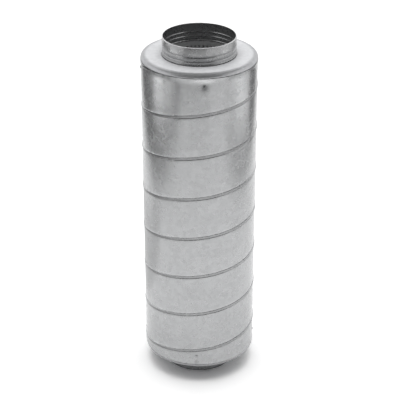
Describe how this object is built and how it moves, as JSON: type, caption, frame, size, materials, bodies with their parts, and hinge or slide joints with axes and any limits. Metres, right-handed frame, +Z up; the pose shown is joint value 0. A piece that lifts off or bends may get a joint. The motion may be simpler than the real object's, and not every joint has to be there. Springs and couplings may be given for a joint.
{
  "type": "duct sound attenuator",
  "caption": "Round duct silencer: spiral lock-seam casing with pressed end caps, male spigots, perforated inner tube and mineral wool lining that quietens air in a duct.",
  "frame": {"origin": "centre of the lower spigot's mouth, where the part stands on the floor", "axes": "+Z up along the airway, -Y towards the front of the picture"},
  "size_m": [0.3162, 0.3161, 1],
  "materials": {
    "casing_steel": "galvanised spiral strip, satin",
    "cap_steel": "galvanised pressing, bright",
    "spigot_steel": "galvanised, satin",
    "tube_steel": "galvanised, perforated",
    "glass_fleece": "black glass tissue",
    "wool": "mineral wool",
    "rivet_metal": "dull"
  },
  "bodies": {
    "root": {"outer_casing": "casing_steel", "top_end_cap": "cap_steel", "bottom_end_cap": "cap_steel", "top_spigot": "spigot_steel", "bottom_spigot": "spigot_steel", "perforated_tube": "tube_steel", "fleece_wrap": "glass_fleece", "mineral_wool": "wool", "top_rivets": "rivet_metal", "bottom_rivets": "rivet_metal"}
  },
  "joints": []
}
